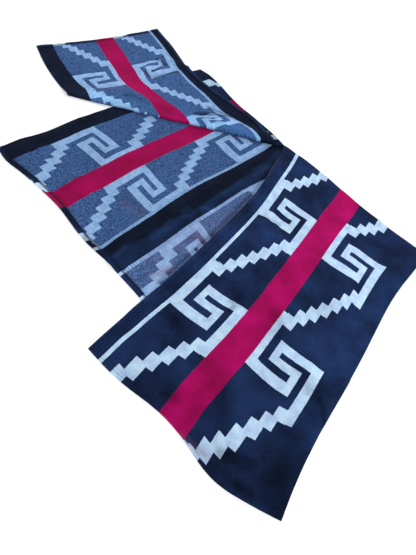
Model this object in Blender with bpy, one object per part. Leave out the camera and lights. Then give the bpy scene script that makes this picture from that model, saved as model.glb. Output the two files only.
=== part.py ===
"""A ruana laid out flat: two equal lengths of jacquard cloth, joined at the centre back and open in front.

Each length runs in one wall from its back hem over the shoulder to its front hem. The garment lies on its
outside, with the back underneath. The right front is folded over the back and fanned a little outwards. The
left front is folded over the back too, then turned back on itself along a slanting crease, so that its inside
shows and its hem lies past the left shoulder.

Metres, +Z up. The plan below has its zero at the nape, where the centre-back seam meets the shoulder fold, with
+Y from hem to shoulder. The finished object is moved so that its origin is at the middle of its underside.
"""

import math
from collections import namedtuple

import bmesh
import bpy
import numpy as np

# Cloth
WIDTH = 0.62  # one length, front edge to outer edge
BACK_LENGTH = 0.91  # shoulder to back hem
TURN = 0.020  # turned under at hems and front edge, lapped at the centre back
CLOTH = 0.0020  # wall
SEAM_GAP = 0.0003  # between the two lengths where they are sewn
NAP = 0.0012  # air that the brushed nap keeps between layers that only lie on each other
STACK = CLOTH + NAP

# Folds
SHOULDER_RADIUS = 0.0055
CREASE_RADIUS = 0.0055
NECK_ROLL_RADIUS = 0.0095  # the crease swells to this beside the neck
NECK_ROLL_REACH = 0.30  # part of the width that the swelling takes to die away
SETTLE = 0.055  # how far from a fold the upper layer takes to settle

# Layers
DROP = 0.060  # how far past an edge under it a layer takes to come down
LAP_DROP = 0.030  # the same for the lapped seam
EDGE_MARGIN = 0.012  # a layer stays up this far past an edge under it
BRIDGE = 0.018  # a layer lies on the highest thing within this of it

# Places across a length, from its front edge
STRIPE = (0.252, 0.342)
ACROSS = (0.0, 0.0195, 0.0215, 0.046, 0.080, 0.114, 0.148, 0.182, 0.217, STRIPE[0], 0.282, 0.312, STRIPE[1])
ACROSS += (0.376, 0.410, 0.444, 0.478, 0.513, 0.547, 0.583, WIDTH)
LAPPED = (-TURN, 0.004, 0.020)  # where the first three places move to along the centre back
LAP_START = 0.006  # the lap begins this far below the shoulder
LAP_GROWTH = 0.030  # and is at its full width this much lower
FRONT_TURN_START = 0.05  # the front edge is turned under from this far past the last fold

# Rows along a length
TURN_ROWS = (0.0, TURN - 0.0005, TURN + 0.0015)
FOLD_STEPS = 4  # rows in a quarter turn
CROWDING = 1.4  # the last panel's rows stand closer together beside its fold
QUARTER = math.pi / 2

# A line across a length: its ends in the plan, and its bow as rows of (part of the width, metres to its left)
Line = namedtuple("Line", "inner outer bow")

# A panel between two lines, with its number of rows along the cloth, and how far its front and outer edges stand
# from straight, as rows of (part of its length, metres towards the outer edge)
Panel = namedtuple("Panel", "name start end rows front_edge outer_edge")

# A soft ridge of loose cloth along a segment in the plan
Ridge = namedtuple("Ridge", "x0 y0 x1 y1 height spread")

STRAIGHT = ((0, 0.0), (1, 0.0))

LEFT_BACK_HEM = Line(
    inner=(0.018, -0.910), outer=(-0.632, -0.930), bow=((0, 0.0), (0.35, 0.006), (0.7, -0.002), (1, 0.0))
)
LEFT_SHOULDER = Line(
    inner=(-0.002, 0.000), outer=(-0.600, 0.066), bow=((0, 0.0), (0.2, -0.006), (0.5, 0.005), (1, 0.0))
)
LEFT_CREASE = Line(
    inner=(-0.028, -0.036), outer=(-0.775, -0.553), bow=((0, 0.0), (0.3, -0.004), (0.6, 0.003), (1, 0.0))
)
LEFT_FRONT_HEM = Line(
    inner=(-1.014, 0.122),
    outer=(-1.170, -0.472),
    bow=((0, 0.0), (0.2, 0.010), (0.5, 0.020), (0.8, 0.011), (1, 0.0)),
)
RIGHT_BACK_HEM = Line(inner=(0.042, -0.910), outer=(0.650, -0.960), bow=((0, 0.0), (0.32, 0.017), (1, 0.0)))
RIGHT_SHOULDER = Line(
    inner=(0.001, 0.006), outer=(0.700, -0.004), bow=((0, 0.0), (0.25, 0.004), (0.6, -0.008), (1, 0.0))
)
RIGHT_FRONT_HEM = Line(
    inner=(0.241, -1.117),
    outer=(0.890, -1.013),
    bow=((0, 0.0), (0.2, -0.008), (0.44, -0.001), (0.55, -0.012), (0.72, -0.034), (0.88, -0.020), (1, 0.0)),
)

LEFT_PANELS = (
    Panel(
        "back",
        LEFT_BACK_HEM,
        LEFT_SHOULDER,
        rows=20,
        front_edge=((0, 0.0), (0.18, 0.006), (0.34, 0.008), (0.5, 0.014), (0.72, 0.0), (0.89, -0.004), (1, 0.0)),
        outer_edge=((0, 0.0), (0.09, 0.005), (0.15, -0.005), (0.32, -0.003), (0.45, -0.009), (1, 0.0)),
    ),
    Panel(
        "tucked front",
        LEFT_SHOULDER,
        LEFT_CREASE,
        rows=13,
        front_edge=STRAIGHT,
        outer_edge=((0, 0.0), (0.5, 0.006), (1, 0.0)),
    ),
    Panel(
        "flap",
        LEFT_CREASE,
        LEFT_FRONT_HEM,
        rows=30,
        front_edge=((0, 0.0), (0.2, 0.006), (0.41, 0.038), (0.56, 0.051), (0.7, 0.031), (0.85, 0.010), (1, 0.0)),
        outer_edge=((0, 0.0), (0.35, 0.013), (0.7, 0.012), (1, 0.0)),
    ),
)
RIGHT_PANELS = (
    Panel(
        "back",
        RIGHT_BACK_HEM,
        RIGHT_SHOULDER,
        rows=20,
        front_edge=((0, 0.0), (0.21, 0.0), (0.36, -0.007), (0.5, -0.004), (0.72, 0.009), (0.89, 0.024), (1, 0.0)),
        outer_edge=((0, 0.0), (0.5, 0.004), (1, 0.0)),
    ),
    Panel(
        "front",
        RIGHT_SHOULDER,
        RIGHT_FRONT_HEM,
        rows=30,
        front_edge=((0, 0.0), (0.15, 0.036), (0.28, 0.050), (0.52, 0.044), (0.75, 0.027), (0.91, 0.007), (1, 0.0)),
        outer_edge=((0, 0.0), (0.07, -0.003), (0.19, -0.017), (0.5, -0.016), (0.72, -0.018), (0.9, -0.012), (1, 0.0)),
    ),
)

RIDGES = {
    "left back": (
        Ridge(-0.60, -0.60, -0.585, -0.84, height=0.006, spread=0.020),
        Ridge(-0.30, -0.70, -0.24, -0.88, height=0.005, spread=0.030),
        Ridge(-0.06, -0.52, -0.02, -0.84, height=0.006, spread=0.016),
    ),
    "right back": (
        Ridge(0.055, -0.10, 0.045, -0.42, height=0.008, spread=0.016),
        Ridge(0.050, -0.50, 0.090, -0.86, height=0.006, spread=0.018),
    ),
    "flap": (
        Ridge(-0.79, -0.005, -0.66, 0.010, height=0.010, spread=0.018),
        Ridge(-0.78, -0.10, -0.73, -0.18, height=0.009, spread=0.020),
        Ridge(-0.65, -0.16, -0.42, -0.11, height=0.007, spread=0.028),
        Ridge(-0.62, -0.34, -0.40, -0.22, height=0.009, spread=0.030),
        Ridge(-0.76, -0.47, -0.66, -0.38, height=0.007, spread=0.022),
        Ridge(-0.28, -0.10, -0.09, -0.045, height=0.010, spread=0.026),
        Ridge(-1.10, -0.44, -0.92, -0.48, height=0.005, spread=0.022),
    ),
    "front": (
        Ridge(0.020, -0.03, 0.115, -0.25, height=0.014, spread=0.026),
        Ridge(0.215, -0.28, 0.265, -0.52, height=0.011, spread=0.028),
        Ridge(0.430, -0.66, 0.400, -0.80, height=0.006, spread=0.020),
        Ridge(0.545, -0.90, 0.600, -1.06, height=0.010, spread=0.026),
        Ridge(0.700, -0.88, 0.790, -1.03, height=0.012, spread=0.028),
        Ridge(0.790, -0.62, 0.800, -0.76, height=0.009, spread=0.022),
        Ridge(0.640, -0.02, 0.660, -0.20, height=0.008, spread=0.030),
        Ridge(0.420, -0.30, 0.520, -0.42, height=0.005, spread=0.034),
    ),
}

COLOURS = {
    "navy outside": (0.018, 0.032, 0.083, 1.0),
    "denim inside": (0.075, 0.130, 0.270, 1.0),
    "crimson stripe": (0.400, 0.004, 0.090, 1.0),
}
ROUGHNESS = 0.92


def smooth_rows(rows, at):
    """A natural cubic spline through rows of (place, value), read at an array of places."""
    place, value = np.array(rows, float).T
    gap = np.diff(place)
    slope = np.diff(value) / gap
    matrix = np.eye(len(place))
    change = np.zeros(len(place))
    for i in range(1, len(place) - 1):
        matrix[i, i - 1 : i + 2] = gap[i - 1], 2 * (gap[i - 1] + gap[i]), gap[i]
        change[i] = 6 * (slope[i] - slope[i - 1])
    bend = np.linalg.solve(matrix, change)
    i = np.clip(np.searchsorted(place, at, side="right") - 1, 0, len(gap) - 1)
    x = np.clip(at, place[0], place[-1]) - place[i]
    first = slope[i] - gap[i] * (2 * bend[i] + bend[i + 1]) / 6
    return value[i] + first * x + bend[i] * x**2 / 2 + (bend[i + 1] - bend[i]) * x**3 / (6 * gap[i])


def smooth_step(x):
    x = np.clip(x, 0, 1)
    return x * x * (3 - 2 * x)


def unit(vector):
    return vector / np.linalg.norm(vector, axis=-1, keepdims=True)


def line_point(line, w):
    """The plan point at part w of the width along a line."""
    inner, outer = np.array(line.inner), np.array(line.outer)
    direction = unit(outer - inner)
    left = np.array([-direction[1], direction[0]])
    return inner + (outer - inner) * w[..., None] + left * smooth_rows(line.bow, w)[..., None]


def panel_point(panel, w, t):
    """The plan point at part w of the width and part t of the panel's length."""
    t = np.broadcast_to(t, np.shape(w))
    between = line_point(panel.start, w) * (1 - t)[..., None] + line_point(panel.end, w) * t[..., None]
    across = np.array(panel.start.outer) + panel.end.outer - panel.start.inner - panel.end.inner
    offset = smooth_rows(panel.front_edge, t) * (1 - w) + smooth_rows(panel.outer_edge, t) * w
    return between + unit(across) * offset[..., None]


def outline(panel, length=1.0, samples=24):
    """The border in the plan of a panel, or of the first part of its length, with its lapped turning."""
    t = np.linspace(0, length, samples)
    inner_w = -TURN / WIDTH if panel.name == "back" else 0.0
    inner = panel_point(panel, np.full(samples, inner_w), t)
    outer = panel_point(panel, np.ones(samples), t)
    return np.concatenate([inner, outer[::-1]])


def distance_outside(points, border):
    """How far each plan point lies outside a closed border, and 0 inside it."""
    a, b = border, np.roll(border, -1, axis=0)
    edge = b - a
    to_point = points[..., None, :] - a
    part = np.clip((to_point * edge).sum(-1) / (edge * edge).sum(-1), 0, 1)
    away = np.linalg.norm(to_point - part[..., None] * edge, axis=-1).min(-1)
    x, y = points[..., 0, None], points[..., 1, None]
    rise = np.where(edge[:, 1] == 0, np.finfo(float).eps, edge[:, 1])
    crosses = ((a[:, 1] > y) != (b[:, 1] > y)) & (x < edge[:, 0] * (y - a[:, 1]) / rise + a[:, 0])
    inside = crosses.sum(-1) % 2 == 1
    return np.where(inside, 0.0, away)


def over(points, border, drop=DROP):
    """1 where a layer lies on the cloth inside the border, falling smoothly to 0 outside it."""
    return 1 - smooth_step((distance_outside(points, border) - EDGE_MARGIN) / drop)


def ridges(points, name):
    """The height of the named panel's soft ridges: each is a bell across its segment, with round ends."""
    height = np.zeros(points.shape[:-1])
    for ridge in RIDGES[name]:
        start, run = np.array([ridge.x0, ridge.y0]), np.array([ridge.x1 - ridge.x0, ridge.y1 - ridge.y0])
        part = np.clip(((points - start) @ run) / (run @ run), 0, 1)
        away = np.linalg.norm(points - start - part[..., None] * run, axis=-1)
        height = np.maximum(height, ridge.height * np.exp(-((away / ridge.spread) ** 2)))
    return height


def settle(distance):
    """How much of a fold's loft is left at a distance from it."""
    return np.exp(-((np.maximum(distance, 0) / SETTLE) ** 2))


def crease_radius(w):
    return CREASE_RADIUS + (NECK_ROLL_RADIUS - CREASE_RADIUS) * np.exp(-((w / NECK_ROLL_REACH) ** 2))


def shoulder_radius(w):
    return np.full_like(w, SHOULDER_RADIUS)


def below_left_shoulder(points):
    """How far a plan point lies below the straight line of the left shoulder."""
    direction = unit(np.array(LEFT_SHOULDER.outer) - LEFT_SHOULDER.inner)
    return (points - np.array(LEFT_SHOULDER.inner)) @ np.array([-direction[1], direction[0]])


LEFT_BACK = outline(LEFT_PANELS[0])
LEFT_HEM = outline(LEFT_PANELS[0], TURN / BACK_LENGTH)
LEFT_TUCKED = outline(LEFT_PANELS[1])
RIGHT_BACK = outline(RIGHT_PANELS[0])
RIGHT_HEM = outline(RIGHT_PANELS[0], TURN / BACK_LENGTH)


def lie_on(points, top, border, air=NAP, drop=DROP):
    """The height of cloth's middle surface, on the top of the layer inside a border or else on the ground."""
    highest = top(points)
    for angle in np.arange(8) * math.pi / 4:
        beside = points + BRIDGE * np.array([math.cos(angle), math.sin(angle)])
        highest = np.maximum(highest, top(beside))
    return CLOTH / 2 + over(points, border, drop) * (highest + air)


def left_back_top(points):
    return CLOTH + ridges(points, "left back") + CLOTH * over(points, LEFT_HEM)


def tucked_top(points):
    """The tucked front's top: it stands off the back beside the shoulder fold, and settles away from it."""
    loft = (2 * SHOULDER_RADIUS - STACK) * settle(below_left_shoulder(points) - SHOULDER_RADIUS)
    return lie_on(points, left_back_top, LEFT_BACK) + CLOTH / 2 + loft


def lapped_back(points):
    """The right back's middle surface: its inner edge is lapped over the left back's."""
    lapped = lie_on(points, left_back_top, LEFT_BACK, SEAM_GAP, LAP_DROP)
    return lapped + ridges(points, "right back")


def right_back_top(points):
    return lapped_back(points) + CLOTH / 2 + CLOTH * over(points, RIGHT_HEM)


def left_bed(panel_name, points):
    """The height of a left panel's middle surface where it lies on what is under it, away from its folds."""
    if panel_name == "back":
        return CLOTH / 2 + ridges(points, "left back")
    on_back = lie_on(points, left_back_top, LEFT_BACK)
    if panel_name == "tucked front":
        return on_back
    return np.maximum(on_back, lie_on(points, tucked_top, LEFT_TUCKED)) + ridges(points, "flap")


def right_bed(panel_name, points):
    if panel_name == "back":
        return lapped_back(points)
    return lie_on(points, right_back_top, RIGHT_BACK) + ridges(points, "front")


def row_plan(panels):
    """The rows of a length, from back hem to front hem: (panel, rule that places the row, distance or angle)."""
    last = len(panels) - 1
    rows = [(0, "from start", away) for away in TURN_ROWS]
    for k, panel in enumerate(panels):
        if k > 0:
            rows += [(k, "out of fold", QUARTER * i / FOLD_STEPS) for i in range(1, FOLD_STEPS + 1)]
        crowding = CROWDING if k == last else 1.0
        rows += [(k, "between", (i / panel.rows) ** crowding) for i in range(1, panel.rows)]
        if k < last:
            rows += [(k, "into fold", QUARTER * (i / FOLD_STEPS - 1)) for i in range(FOLD_STEPS + 1)]
    return rows + [(last, "from end", away) for away in reversed(TURN_ROWS)]


def length_grid(panels, radii, bed):
    """The middle surface of a length as a grid of points, its outward normals, and where it is turned under."""
    last = len(panels) - 1
    middle, turned, floors = [], [], []
    for k, rule, value in row_plan(panels):
        panel = panels[k]
        w = np.array(ACROSS) / WIDTH
        run = np.linalg.norm(panel_point(panel, w, 1.0) - panel_point(panel, w, 0.0), axis=1)
        before = radii[k - 1](w) if k > 0 else np.zeros_like(w)
        after = radii[k](w) if k < last else np.zeros_like(w)
        first = before if k > 0 else TURN_ROWS[-1]
        final = after if k < last else TURN_ROWS[-1]
        away = {
            "from start": np.full_like(w, value),
            "from end": run - value,
            "out of fold": before * (1 - math.cos(value)),
            "into fold": run - after * (1 - math.cos(value)),
            "between": first + value * (run - first - final),
        }[rule]
        if k == 0:
            lap = smooth_step((BACK_LENGTH - away.mean() - LAP_START) / LAP_GROWTH)
            w[:3] += (np.array(LAPPED) / WIDTH - w[:3]) * lap
        plan = panel_point(panel, w, away / run)
        height = bed(panel.name, plan)
        if k > 0:
            settled = bed(panel.name, panel_point(panel, w, before / run))
            loft = np.maximum(floors[k - 1] + 2 * before - settled, 0)
            height = height + loft * settle(away - before)
        if rule == "into fold":
            if len(floors) == k:
                floors.append(height)
            height = floors[k] + after * (1 + math.sin(value))
        if rule == "out of fold":
            height = floors[k - 1] + before * (1 + math.sin(value))
        band = np.zeros_like(w)
        if k == 0:
            band[away < TURN] = 1
        if k == last:
            band[:2] = away[0] > FRONT_TURN_START
            band[run - away < TURN] = 1
        inside_down = k % 2 == 1
        middle.append(np.column_stack([plan, height + CLOTH * band * inside_down]))
        turned.append(band)
    middle, turned = np.array(middle), np.array(turned)
    outward = unit(np.cross(np.gradient(middle, axis=0), np.gradient(middle, axis=1)))
    back_faces_down = -np.sign(outward[0, 0, 2])
    return middle, outward * back_faces_down, turned


def wall(name, middle, outward, turned, shift):
    """A closed wall from a grid: an outer and an inner face, cut along the same diagonals, and their rim."""
    outer = middle + outward * CLOTH / 2
    inner = middle - outward * (CLOTH / 2 + CLOTH * turned)[..., None]
    rows, columns = turned.shape
    points = np.concatenate([outer.reshape(-1, 3), inner.reshape(-1, 3)])
    points[:, 2] = np.maximum(points[:, 2], 0)
    points[:, :2] += shift
    index = np.arange(rows * columns).reshape(rows, columns)
    a, b, c, d = (part.ravel() for part in (index[:-1, :-1], index[:-1, 1:], index[1:, 1:], index[1:, :-1]))
    halves = np.concatenate([np.column_stack([a, b, c]), np.column_stack([a, c, d])])
    behind = rows * columns
    border = np.concatenate([index[0, :], index[1:, -1], index[-1, -2::-1], index[-2:0:-1, 0]])
    ahead = np.roll(border, -1)
    rim = np.column_stack([ahead, border, border + behind, ahead + behind])
    mesh = bpy.data.meshes.new(name)
    mesh.from_pydata(points.tolist(), [], halves.tolist() + (halves[:, ::-1] + behind).tolist() + rim.tolist())
    for material_name in COLOURS:
        mesh.materials.append(bpy.data.materials[material_name])
    place = (np.array(ACROSS)[:-1] + np.array(ACROSS)[1:]) / 2
    striped = np.tile((place > STRIPE[0]) & (place < STRIPE[1]), 4 * (rows - 1))
    face_material = np.repeat([0, 1, 0], [len(halves), len(halves), len(rim)])
    face_material[: len(striped)][striped] = 2
    mesh.polygons.foreach_set("material_index", face_material)
    tidy = bmesh.new()
    tidy.from_mesh(mesh)
    bmesh.ops.recalc_face_normals(tidy, faces=tidy.faces)
    tidy.to_mesh(mesh)
    tidy.free()
    mesh.shade_smooth()
    mesh.set_sharp_from_angle(angle=math.radians(50))
    return bpy.data.objects.new(name, mesh)


def cloth_material(name, colour):
    material = bpy.data.materials.new(name)
    material.use_nodes = True
    shader = material.node_tree.nodes["Principled BSDF"]
    shader.inputs["Base Color"].default_value = colour
    shader.inputs["Roughness"].default_value = ROUGHNESS
    shader.inputs["Metallic"].default_value = 0.0


def main():
    for old in list(bpy.data.objects):
        bpy.data.objects.remove(old, do_unlink=True)
    ruana = bpy.data.collections.new("Ruana")
    bpy.context.scene.collection.children.link(ruana)
    for name, colour in COLOURS.items():
        cloth_material(name, colour)
    left = length_grid(LEFT_PANELS, (shoulder_radius, crease_radius), left_bed)
    right = length_grid(RIGHT_PANELS, (shoulder_radius,), right_bed)
    points = np.concatenate([left[0].reshape(-1, 3), right[0].reshape(-1, 3)])
    shift = -(points.min(axis=0) + points.max(axis=0))[:2] / 2
    for name, grid in (("left_length", left), ("right_length", right)):
        ruana.objects.link(wall(name, *grid, shift))


main()
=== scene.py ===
"""Looks of the ruana: its two lengths of jacquard cloth as fine walls, with their frets, hems and stitches.

Each length is one grid. Its rows run across the cloth and its columns along it, from the back hem over the
shoulder to the front hem, as in the part. Its UV map holds the cloth's own measure, so the frets are worked
out from metres of cloth. Metres, +Z up, in the part's frame.
"""

import math
from collections import namedtuple

import bpy
import numpy as np
from mathutils import Matrix, Vector


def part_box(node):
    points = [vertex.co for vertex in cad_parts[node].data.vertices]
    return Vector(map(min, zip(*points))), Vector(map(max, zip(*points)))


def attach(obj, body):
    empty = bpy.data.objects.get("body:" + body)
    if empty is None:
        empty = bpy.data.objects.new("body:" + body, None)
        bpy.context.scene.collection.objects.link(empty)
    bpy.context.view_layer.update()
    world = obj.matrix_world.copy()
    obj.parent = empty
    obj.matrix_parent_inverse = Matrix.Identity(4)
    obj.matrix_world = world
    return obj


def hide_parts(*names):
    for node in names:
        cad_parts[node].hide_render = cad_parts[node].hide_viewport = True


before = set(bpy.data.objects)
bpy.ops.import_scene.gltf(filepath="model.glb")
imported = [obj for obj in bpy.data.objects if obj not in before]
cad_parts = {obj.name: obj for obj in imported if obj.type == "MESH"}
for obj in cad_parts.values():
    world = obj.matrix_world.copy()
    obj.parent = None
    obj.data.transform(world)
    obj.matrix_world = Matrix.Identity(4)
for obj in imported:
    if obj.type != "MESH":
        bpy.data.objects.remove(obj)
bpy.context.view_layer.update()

# Units of the tables
MM = 0.001
PERCENT = 0.01

# Cloth, as in the part
WIDTH = 0.62
BACK_LENGTH = 0.91
TURN = 0.020
CLOTH = 0.0020
SEAM_GAP = 0.0003
NAP = 0.0012
STACK = CLOTH + NAP

# Folds and layers, as in the part
SHOULDER_RADIUS = 0.0055
CREASE_RADIUS = 0.0055
NECK_ROLL_RADIUS = 0.0095
NECK_ROLL_REACH = 0.30
SETTLE = 0.055
DROP = 0.060
LAP_DROP = 0.030
EDGE_MARGIN = 0.012
BRIDGE = 0.018
BRIDGE_DIRECTIONS = 8
LAP_START = 0.006
LAP_GROWTH = 0.030
LAPPED_COLUMNS = 6
FRONT_TURN_START = 0.05

# Grid
COLUMN_STEP = 0.0064
ROW_STEP = 0.0066
TURN_STEPS = 4
FOLD_STEPS = 9
STEP_WIDTH = 0.0006  # how far the step at a turned edge is spread
QUARTER = math.pi / 2

# Low waves of the laid cloth
RIPPLE = 0.0016
RIPPLE_WAVES = 9
RIPPLE_LENGTHS = (0.05, 0.16)

# The cloth's stripes, from the front edge
BORDER = 0.042
THIN_LINE = 0.0545
STRIPE = (0.2521, 0.3417)
OUTER_BORDER = 0.5466

# The fret's repeat along the cloth, and the distance from the back hem to the middle of the first one
REPEAT = 0.480
FIRST_FRET = 0.284
FRONT_FRETS = {"left": 2.056, "right": 2.066}  # the same measure at the front hem

# The fret's bars, charted on cloth: x across its column and y along it, in millimetres
Bar = namedtuple("Bar", "x0 x1 y0 y1")
FRET_WIDTH = 205
FRET_MIDDLE = 66
FRET_START = -84
FRET_BARS = (
    Bar(0, 22, -84, 132),
    Bar(0, 54, -84, -44),
    Bar(0, 152, 97, 132),
    Bar(128, 152, 47, 132),
    Bar(48, 152, 47, 73),
    Bar(48, 71, 0, 73),
    Bar(48, 205, 0, 29),
    Bar(174, 205, 0, 210),
)
STAIR_STEPS = 7
STAIR_START = 168
STAIR_RISE = 37.3
STAIR_RUN = 22.3
STAIR_X = 148
STAIR_TREAD = 40
STAIR_OVERLAP = 6.7
OUTER_FRET_SHIFT = 10

# Bows, edges, waves and slips are rows of (percent of the way, millimetres), joined by a smooth curve
STRAIGHT = ((0, 0), (100, 0))

Line = namedtuple("Line", "inner outer bow")
Panel = namedtuple("Panel", "name start end front_edge outer_edge")

LEFT_BACK_HEM = Line(
    inner=(0.018, -0.910),
    outer=(-0.632, -0.930),
    bow=((0, 0), (14, 6), (22, 4), (42, -9), (54, -8), (77, 3), (91, 12), (100, 3)),
)
LEFT_SHOULDER = Line(
    inner=(-0.002, 0.000),
    outer=(-0.608, 0.065),
    bow=((0, 0), (20, -6), (50, 3), (70, -6), (93, -9), (100, 0)),
)
LEFT_CREASE = Line(
    inner=(-0.028, -0.036),
    outer=(-0.775, -0.553),
    bow=((0, 0), (30, -4), (60, 3), (100, 0)),
)
LEFT_FRONT_HEM = Line(
    inner=(-1.014, 0.122),
    outer=(-1.170, -0.472),
    bow=((0, 0), (20, 10), (50, 20), (80, 11), (100, 0)),
)
RIGHT_BACK_HEM = Line(
    inner=(0.042, -0.910),
    outer=(0.650, -0.960),
    bow=((0, 0), (32, 17), (100, 0)),
)
RIGHT_SHOULDER = Line(
    inner=(0.001, 0.006),
    outer=(0.700, -0.004),
    bow=((0, -9), (5, -3), (25, 4), (60, -8), (100, 0)),
)
RIGHT_FRONT_HEM = Line(
    inner=(0.241, -1.117),
    outer=(0.890, -1.013),
    bow=((0, 0), (20, -8), (44, -1), (55, -12), (72, -34), (88, -20), (100, 0)),
)

LEFT_PANELS = (
    Panel(
        "left back",
        LEFT_BACK_HEM,
        LEFT_SHOULDER,
        front_edge=((0, 0), (18, 6), (34, 8), (50, 14), (72, 0), (89, -4), (100, 0)),
        outer_edge=((0, 0), (9, 5), (15, -5), (32, -3), (45, -9), (100, 0)),
    ),
    Panel(
        "tucked front",
        LEFT_SHOULDER,
        LEFT_CREASE,
        front_edge=STRAIGHT,
        outer_edge=((0, 0), (50, 6), (100, 0)),
    ),
    Panel(
        "flap",
        LEFT_CREASE,
        LEFT_FRONT_HEM,
        front_edge=(
            *((0, 0), (5, -10), (11, -21), (17, -18), (24, -2), (31, 16)),
            *((41, 38), (56, 51), (70, 31), (85, 10), (100, 0)),
        ),
        outer_edge=((0, 0), (35, 13), (70, 12), (100, 0)),
    ),
)
RIGHT_PANELS = (
    Panel(
        "right back",
        RIGHT_BACK_HEM,
        RIGHT_SHOULDER,
        front_edge=((0, 0), (21, 0), (36, -7), (50, -4), (72, 9), (89, 24), (100, 0)),
        outer_edge=((0, 0), (50, 4), (100, 0)),
    ),
    Panel(
        "front",
        RIGHT_SHOULDER,
        RIGHT_FRONT_HEM,
        front_edge=((0, 0), (15, 36), (28, 50), (52, 44), (75, 27), (91, 7), (100, 0)),
        outer_edge=((0, 0), (7, -3), (19, -17), (50, -16), (72, -18), (90, -12), (100, 0)),
    ),
)

# How far the seam's lapped edge waves in from its straight line
SEAM_WAVE = (
    *((0, 3), (3, 2), (10, -9), (16.3, 1), (21, 12), (27, 7), (32.4, 13), (37.1, 9)),
    *((43.1, 14), (61, 12), (74, 10), (85, 2), (100, 4)),
)

# The large soft ridges, as in the part. Each row is x and y of its start, x and y of its end, its height and
# its spread, in millimetres
RIDGES = {
    "left back": (
        (-600, -600, -585, -840, 6, 20),
        (-300, -700, -240, -880, 5, 30),
        (-60, -520, -20, -840, 6, 16),
    ),
    "right back": (
        (55, -100, 45, -420, 8, 16),
        (50, -500, 90, -860, 6, 18),
    ),
    "flap": (
        (-790, -5, -660, 10, 10, 18),
        (-780, -100, -730, -180, 9, 20),
        (-650, -160, -420, -110, 7, 28),
        (-620, -340, -400, -220, 9, 30),
        (-760, -470, -660, -380, 7, 22),
        (-280, -100, -90, -45, 10, 26),
        (-1100, -440, -920, -480, 5, 22),
    ),
    "front": (
        (20, -30, 115, -250, 14, 26),
        (215, -280, 265, -520, 11, 28),
        (430, -660, 400, -800, 6, 20),
        (545, -900, 600, -1060, 10, 26),
        (700, -880, 790, -1030, 12, 28),
        (790, -620, 800, -760, 9, 22),
        (640, -20, 660, -200, 8, 30),
        (420, -300, 520, -420, 5, 34),
    ),
}

# Smaller creases in the same form, as in the photograph on the shown sides and alike on the hidden ones
CREASES = {
    "left back": (
        (-500, -440, -380, -500, 4, 12),
        (-170, -690, -50, -700, 4, 13),
        (-570, -300, -550, -420, 4, 14),
    ),
    "right back": (
        (30, -560, 180, -556, 5, 11),
        (20, -300, 120, -360, 4, 12),
        (300, -400, 420, -550, 5, 16),
        (460, -700, 560, -660, 4, 14),
    ),
    "flap": (
        (-390, -235, -240, -130, 10, 20),
        (-370, -150, -250, -85, 9, 11),
        (-705, -150, -715, -55, 8, 12),
        (-765, -110, -770, -25, 7, 12),
        (-660, -140, -640, -60, 6, 13),
        (-725, -485, -555, -360, 7, 18),
        (-900, -60, -880, -160, 5, 14),
    ),
    "front": (
        (245, -340, 345, -400, 8, 13),
        (415, -735, 400, -690, 6, 10),
        (655, -990, 740, -945, 6, 13),
        (700, -1050, 830, -1055, 6, 13),
        (765, -690, 820, -730, 5, 10),
        (270, -70, 370, -125, 4, 8),
        (560, -560, 640, -680, 4, 16),
        (330, -930, 360, -1060, 5, 18),
    ),
}


def even(slip):
    """A row that slips evenly over the whole width."""
    return ((0, slip), (100, slip))


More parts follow.
